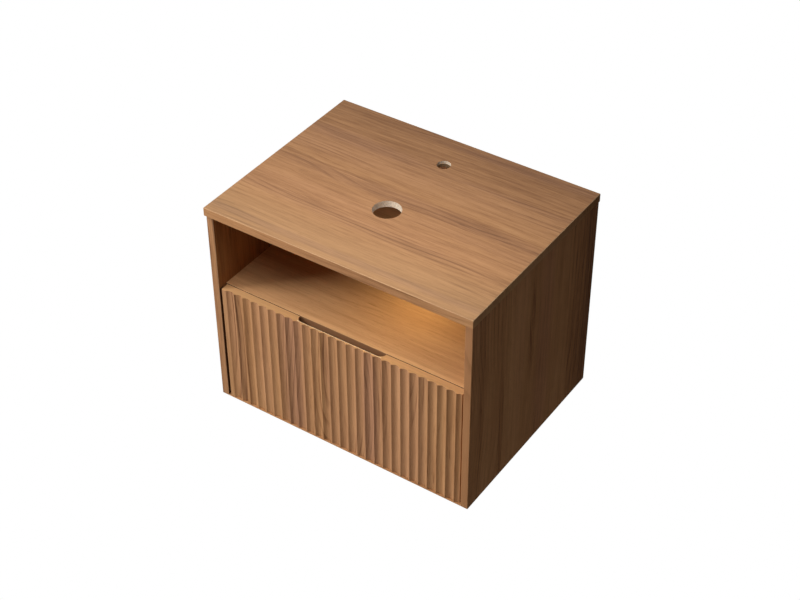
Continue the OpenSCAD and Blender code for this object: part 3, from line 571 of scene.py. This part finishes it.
# what every board has unless it says otherwise
plainBoard = {
    "body": "cabinet", "slot": "walnut_laminate", "along": "xz", "rough": 0.5, "gloss": 0.05, "edgeGlow": 0.15,
    "tone": 0.49, "broad": 0.60, "band": 0.38, "fibre": 0.52, "hair": 0.34, "fleck": 0.20, "rosy": 0.35,
    "sway": 0.03, "arch": 0.10, "archLength": 2.2, "rings": 90, "line": 0.28, "lineFrom": 0.50,
}
boxBoard = {"body": "drawer", "slot": "inner_board", "line": 0.2}
boards = {
    "countertop": {
        "along": "xy", "shift": (0.31, 0.12, 0.0), "rough": 0.42, "gloss": 0.22, "edgeGlow": 0.12,
        "tone": 0.56, "rosy": 0.25, "broad": 0.36, "band": 0.26, "line": 0.22, "fleck": 0.12,
        # painted sheen, greyer towards the front
        "sheen": {"from": -0.30, "to": -0.43, "share": 0.30, "tone": (167, 138, 101)},
        # painted highlight along the right edge
        "rim": {"from": 0.2991, "share": 0.55},
        "holes": {
            "drain": {"at": (-0.008, -0.269), "radius": 0.0286, "paleTo": 0.0},
            "tap": {"at": (0.0, -0.085), "radius": 0.0141, "paleTo": 0.0785},
        },
        "streaks": [
            {"at": (0.16, -0.018), "half": (0.32, 0.018), "dark": 0.05, "hue": 0.30, "lines": 0.2},
            {"at": (-0.20, -0.110), "half": (0.26, 0.028), "dark": 0.05, "hue": 0.35, "lines": 0.2},
            {"at": (0.18, -0.115), "half": (0.24, 0.010), "dark": 0.04, "hue": 0.15, "lines": 0.6},
            {"at": (0.05, -0.222), "half": (0.50, 0.026), "dark": 0.03, "hue": 0.25, "lines": 0.6},
            {"at": (-0.05, -0.335), "half": (0.60, 0.026), "dark": -0.03, "hue": 0.10, "lines": 0.8},
            # painted shade: the top is darker towards its rear
            {"at": (0.05, -0.030), "half": (0.90, 0.120), "dark": 0.09},
            {"at": (0.00, -0.392), "half": (0.60, 0.030), "dark": -0.05},
            {"at": (0.00, -0.430), "half": (0.70, 0.014), "dark": 0.05, "hue": 0.45},
        ],
    },
    "left_side_panel": {
        "along": "zy", "shift": (1.7, 0.9, 0.3), "tone": 0.62,
        # painted shade on the inner face, and a painted shadow in the gap beside the drawer front
        "dustSeal": {
            "top": -0.1065, "middle": -0.4460, "half": 0.0058, "share": 0.8, "tone": (48, 28, 20),
            "innerTint": (224, 206, 172),
        },
    },
    "right_side_panel": {
        "along": "zy", "shift": (3.1, 0.2, 0.5), "gloss": 0.01, "tone": 0.29, "broad": 0.9, "fibre": 0.68,
        # painted light: the warmer tint stands in for the warm light on this shaded side
        "tint": (255, 243, 235), "frontBand": {"tone": (166, 120, 84), "share": 0.6},
        "streaks": [
            {"at": (-0.16, -0.457), "half": (0.70, 0.013), "dark": 0.12},
            {"at": (-0.16, -0.415), "half": (0.55, 0.022), "dark": 0.16, "lines": 0.4},
            {"at": (-0.26, -0.338), "half": (0.22, 0.014), "dark": 0.20, "lines": 0.9},
            {"at": (-0.16, -0.280), "half": (0.55, 0.050), "dark": -0.16},
            {"at": (-0.08, -0.238), "half": (0.16, 0.014), "dark": 0.22, "hue": 0.1, "lines": 1.0},
            {"at": (-0.16, -0.190), "half": (0.55, 0.040), "dark": 0.08, "hue": 0.5, "lines": 0.3},
            # painted shade: the panel is darker towards its rear
            {"at": (-0.16, -0.030), "half": (0.70, 0.085), "dark": 0.36, "lines": 0.3},
        ],
    },
    "shelf": {
        "along": "xy", "shift": (5.3, 1.3, 0.1), "edgeGlow": 0.0, "tone": 0.27, "rosy": 0.0,
        # a painted shadow in the dark line at the top of the front edge
        "frontEdge": {
            "y": -0.4302, "pullHalf": 0.1003, "lineFrom": -0.1072, "share": 0.7, "tone": (122, 82, 58),
            "lineTone": (58, 38, 26),
        },
        # painted light: the shelf is paler along its front
        "streaks": [{"at": (0.05, -0.432), "half": (0.60, 0.018), "dark": -0.20}],
    },
    "bottom_panel": {"along": "xy", "shift": (7.3, 2.3, 0.1)},
    "bottom_trim_strip": {
        "slot": "foil_wrapped_aluminium", "along": "xy", "shift": (8.3, 3.3, 0.1), "line": 0.15,
    },
    "niche_back_panel": {"shift": (9.3, 2.9, 0.1)},
    "upper_rear_rail": {"slot": "inner_board", "shift": (11.3, 3.9, 0.1)},
    "lower_rear_rail": {"slot": "inner_board", "shift": (13.3, 4.9, 0.1)},
    "drawer_front": {
        "body": "drawer", "along": "zx", "shift": (15.4, 0.02, 0.5), "edgeGlow": 0.0,
        "arch": 0.12, "broad": 0.34, "line": 0.34, "lineFrom": 0.48,
        # painted light on the pale top edge
        "pullLip": {
            "from": -0.1062, "upward": (0.3, 0.8), "share": 0.30, "tone": (238, 188, 128),
            "foldMiddle": -0.4454, "foldHalf": 0.0009, "foldReach": 0.0975,
        },
        "streaks": [
            {"at": (-0.25, -0.248), "half": (0.40, 0.024), "dark": 0.04, "hue": 0.2, "lines": 0.9},
            {"at": (-0.25, -0.185), "half": (0.50, 0.045), "dark": -0.07},
            {"at": (-0.25, -0.108), "half": (0.50, 0.040), "dark": 0.08, "hue": 0.45, "lines": 0.5},
            {"at": (-0.18, -0.022), "half": (0.14, 0.014), "dark": 0.12, "hue": 0.2, "lines": 0.9},
            {"at": (-0.25, 0.076), "half": (0.30, 0.024), "dark": 0.08, "hue": 0.45, "lines": 0.5},
        ],
    },
    "drawer_inner_front": {**boxBoard, "shift": (17.3, 5.9, 0.1)},
    "drawer_left_side": {**boxBoard, "along": "yz", "shift": (19.3, 6.9, 0.1)},
    "drawer_right_side": {**boxBoard, "along": "yz", "shift": (21.3, 7.9, 0.1)},
    "drawer_back": {**boxBoard, "shift": (23.3, 8.9, 0.1)},
    "drawer_bottom": {**boxBoard, "along": "xy", "shift": (25.3, 9.9, 0.1)},
}
boardEdge = {"width": 0.0003, "segments": 2, "angle": 34}
stripEdge = {"width": 0.0002, "segments": 1, "angle": 34}
dressed = {}
for nodeName, ownLook in boards.items():
    look = {**plainBoard, **ownLook}
    wood = boardMaterial(pieceNameFor(nodeName) + "Wood", look)
    edge = stripEdge if nodeName == "bottom_trim_strip" else boardEdge
    dressed[nodeName] = showCopy(nodeName, look["body"], wood, edge)
print("boards dressed:", len(dressed))

# the top's rim has an edge band of its own
bandLook = {
    "along": "xz", "shift": (2.9, 4.4, 0.7), "tone": 0.50, "gloss": 0.0, "edgeGlow": 0.0, "broad": 0.4,
    "streaks": [
        {"at": (-0.04, 0.0755), "half": (0.30, 0.20), "dark": 0.15},
        {"at": (0.29, 0.0755), "half": (0.12, 0.20), "dark": -0.08},
        # painted light: the rim's right face is much paler
        {"at": (0.0755, -0.340), "half": (0.40, 0.34), "dark": -0.48},
    ],
}
rimFaces = {"within": 0.0002, "steepest": 0.3}
countertop = dressed["countertop"].data
countertop.materials.append(boardMaterial("countertopBandWood", {**plainBoard, **bandLook}))
low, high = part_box("countertop")
for face in countertop.polygons:
    middle = face.center
    inset = min(middle.x - low[0], high[0] - middle.x, middle.y - low[1], high[1] - middle.y)
    if inset < rimFaces["within"] and abs(face.normal.z) < rimFaces["steepest"]:
        face.material_index = 1
print("edge band laid on the top's rim")

# the cross recess of the screws, modelled once and sunk into every head
recess = {"slot": 0.0011, "wide": 0.0044, "deep": 0.0015, "tip": 0.5}
block = (recess["slot"], recess["slot"], 2 * recess["deep"])
bpy.ops.object.select_all(action="DESELECT")
bpy.ops.mesh.primitive_cube_add(size=1, location=(0, 0, 0), scale=block)
cross = bpy.context.object
cross.name = "crossCutter"
bpy.ops.object.transform_apply(location=True, rotation=True, scale=True)
for face in cross.data.polygons:
    face.select = abs(face.normal.z) < squarely["level"]
bpy.ops.object.mode_set(mode="EDIT")
bpy.ops.mesh.select_mode(type="FACE")
arm = (recess["wide"] - recess["slot"]) / 2
bpy.ops.mesh.extrude_faces_move(TRANSFORM_OT_shrink_fatten={"value": arm})
bpy.ops.object.mode_set(mode="OBJECT")
for edge in cross.data.edges:
    edge.select = False
for face in cross.data.polygons:
    face.select = False
for corner in cross.data.vertices:
    corner.select = corner.co.z < 0
bpy.ops.object.mode_set(mode="EDIT")
bpy.ops.mesh.select_mode(type="VERT")
bpy.ops.transform.resize(value=(recess["tip"], recess["tip"], 1), center_override=(0, 0, 0))
bpy.ops.mesh.select_all(action="SELECT")
bpy.ops.mesh.normals_make_consistent(inside=False)
bpy.ops.object.mode_set(mode="OBJECT")


def looseScrews(mesh):
    # the corners of each screw, from the loose screws of one mesh
    group = list(range(len(mesh.vertices)))

    def root(index):
        while group[index] != index:
            group[index] = group[group[index]]
            index = group[index]
        return index

    for edge in mesh.edges:
        first, second = (root(index) for index in edge.vertices)
        group[first] = second
    screws = {}
    for vertex in mesh.vertices:
        screws.setdefault(root(vertex.index), []).append(vertex.co.copy())
    return screws.values()


def screwHead(points):
    # the middle of the head's outer face and the way it looks
    lows = [min(p[k] for p in points) for k in range(3)]
    highs = [max(p[k] for p in points) for k in range(3)]
    spans = [high - low for low, high in zip(lows, highs)]
    axis = spans.index(max(spans))
    low, high = lows[axis], highs[axis]
    middle = Vector([(highs[k] + lows[k]) / 2 for k in range(3)])

    def widest(near, far):
        offsets = [p - middle for p in points if near <= p[axis] <= far]
        for offset in offsets:
            offset[axis] = 0
        return max(offset.length for offset in offsets)

    third = (high - low) / 3
    outward = 1 if widest(high - third, high) > widest(low, low + third) else -1
    top = middle.copy()
    top[axis] = high if outward > 0 else low
    way = Vector((0, 0, 0))
    way[axis] = outward
    return top, way


screwNodes = {
    "cabinet_runner_screws": "cabinet", "hanging_clip_screws": "cabinet", "trim_strip_screws": "cabinet",
    "drawer_runner_screws": "drawer", "drawer_box_screws": "drawer", "drawer_front_screws": "drawer",
}
for nodeName, body in screwNodes.items():
    screws = showCopy(nodeName, body, finishes["zincSteel"], None)
    cutters = []
    for points in looseScrews(screws.data):
        top, way = screwHead(points)
        cutter = cross.copy()
        cutter.data = cross.data.copy()
        scene.collection.objects.link(cutter)
        cutter.location = top
        cutter.rotation_euler = way.to_track_quat("Z", "Y").to_euler()
        cutters.append(cutter)
    selectOnly(*cutters)
    bpy.ops.object.join()
    allCutters = bpy.context.object
    bpy.ops.object.transform_apply(location=True, rotation=True, scale=True)
    selectOnly(screws)
    sink = screws.modifiers.new("sink", "BOOLEAN")
    sink.object = allCutters
    sink.operation = "DIFFERENCE"
    sink.solver = "EXACT"
    bpy.ops.object.modifier_apply(modifier="sink")
    bpy.ops.object.shade_smooth_by_angle(angle=smoothBelow)
    bpy.data.objects.remove(allCutters)
    print("screws finished:", screws.name, len(cutters))
bpy.data.objects.remove(cross)

# hanging steel and rubber, softened at their edges
steelEdge = {"width": 0.00015, "segments": 1, "angle": 50}
rubberEdge = {"width": 0.0004, "segments": 3, "angle": 40}
softened = {
    "wall_rail": ("cabinet", "zinc_steel", "zincSteel", steelEdge),
    "left_hanging_clip": ("cabinet", "zinc_steel", "zincSteel", steelEdge),
    "right_hanging_clip": ("cabinet", "zinc_steel", "zincSteel", steelEdge),
    "runner_buffers": ("cabinet", "rubber", "greyRubber", rubberEdge),
    "closing_bumpers": ("drawer", "rubber", "greyRubber", rubberEdge),
}
for nodeName, (body, slot, finish, edge) in softened.items():
    showCopy(nodeName, body, finishes[finish], edge)

# the other nodes keep their shape; what isn't named here is zinc-plated
finishByWord = {"balls": "ballSteel", "cage": "cageSteel", "wood_dowels": "beechDowel", "cams": "castZinc"}
for nodeName, node in nodes.items():
    if nodeName in boards or nodeName in screwNodes or nodeName in softened:
        continue
    finish = next((own for word, own in finishByWord.items() if word in nodeName), "zincSteel")
    node.data.materials.clear()
    node.data.materials.append(finishes[finish])
print("fittings painted")


# studio: the vanity hangs at its real height above a pale floor, and all lamps are soft

def backdropSeen(tree):
    # 1 where the camera, or a reflection or clear material, looks straight at the backdrop
    path = tree.nodes.new("ShaderNodeLightPath")
    seen = calc(tree, "MAXIMUM", path.outputs["Is Camera Ray"], path.outputs["Is Glossy Ray"])
    return calc(tree, "MAXIMUM", seen, path.outputs["Is Transmission Ray"])


def lightShader(tree, kind, tone, strength):
    node = tree.nodes.new(kind)
    node.inputs["Color"].default_value = tone
    node.inputs["Strength"].default_value = strength
    return node.outputs[0]


def mixShaders(tree, share, first, second):
    node = tree.nodes.new("ShaderNodeMixShader")
    for socket, value in zip(node.inputs, (share, first, second)):
        tree.links.new(value, socket)
    return node.outputs[0]


studio = {
    "floorHeight": -0.77,
    "floorSize": 40,
    "floorTone": (0.42, 0.42, 0.42, 1.0),
    "floorRough": 0.9,
    "worldTone": (1.0, 0.93, 0.84, 1.0),
    "worldStrength": 0.055,
    "white": (1.0, 1.0, 1.0, 1.0),
}
bpy.ops.object.select_all(action="DESELECT")
bpy.ops.mesh.primitive_plane_add(size=studio["floorSize"], location=(0, 0, studio["floorHeight"]))
floor = bpy.context.object
floor.name = "studioFloor"
floorMaterial, tree, shader = startMaterial("paleFloor")
shader.inputs["Base Color"].default_value = studio["floorTone"]
shader.inputs["Roughness"].default_value = studio["floorRough"]
white = lightShader(tree, "ShaderNodeEmission", studio["white"], 1.0)
surface = mixShaders(tree, backdropSeen(tree), shader.outputs[0], white)
# seen from below, the floor is clear
geometry = tree.nodes.new("ShaderNodeNewGeometry")
clear = tree.nodes.new("ShaderNodeBsdfTransparent")
surface = mixShaders(tree, geometry.outputs["Backfacing"], surface, clear.outputs[0])
output = next(node for node in tree.nodes if node.type == "OUTPUT_MATERIAL")
tree.links.new(surface, output.inputs["Surface"])
floor.data.materials.append(floorMaterial)

world = bpy.data.worlds.new("studioWorld")
scene.world = world
world.use_nodes = True
tree = world.node_tree
tree.nodes.clear()
dim = lightShader(tree, "ShaderNodeBackground", studio["worldTone"], studio["worldStrength"])
white = lightShader(tree, "ShaderNodeBackground", studio["white"], 1.0)
output = tree.nodes.new("ShaderNodeOutputWorld")
tree.links.new(mixShaders(tree, backdropSeen(tree), dim, white), output.inputs["Surface"])

lamps = {
    "keySoftbox": {"from": (-2.41, -1.99, 1.58), "to": (0, -0.30, -0.12), "size": 1.05, "power": 65},
    "topSoftbox": {"from": (-0.20, -0.70, 0.80), "to": (0, -0.40, 0.08), "size": 0.5, "power": 4.5},
    "rightTopSoftbox": {"from": (0.22, -0.50, 0.60), "to": (0.15, -0.40, 0.08), "size": 0.3, "power": 1.4},
    "lowSoftbox": {"from": (-0.40, -2.20, -0.60), "to": (0, -0.45, -0.30), "size": 1.0, "power": 14},
    "nicheGlow": {
        "from": (0.08, -0.20, 0.060), "to": (0.10, -0.36, -0.105), "size": 0.06, "power": 0.20,
        "colour": (1.0, 0.77, 0.36), "spread": 110,
    },
    "rearGlow": {
        "from": (-0.11, -0.13, 0.055), "to": (-0.12, -0.10, -0.105), "size": 0.05, "power": 0.010,
        "colour": (1.0, 0.95, 0.88), "spread": 80,
    },
}
plainLamp = {"colour": (1, 1, 1), "spread": 180}
for lampName, ownLamp in lamps.items():
    lamp = {**plainLamp, **ownLamp}
    bpy.ops.object.light_add(type="AREA", location=lamp["from"])
    light = bpy.context.object
    light.name = lampName
    light.data.energy = lamp["power"]
    light.data.size = lamp["size"]
    light.data.color = lamp["colour"]
    light.data.spread = radians(lamp["spread"])
    aim = Vector(lamp["to"]) - Vector(lamp["from"])
    light.rotation_euler = aim.to_track_quat("-Z", "Y").to_euler()
print("studio lit")
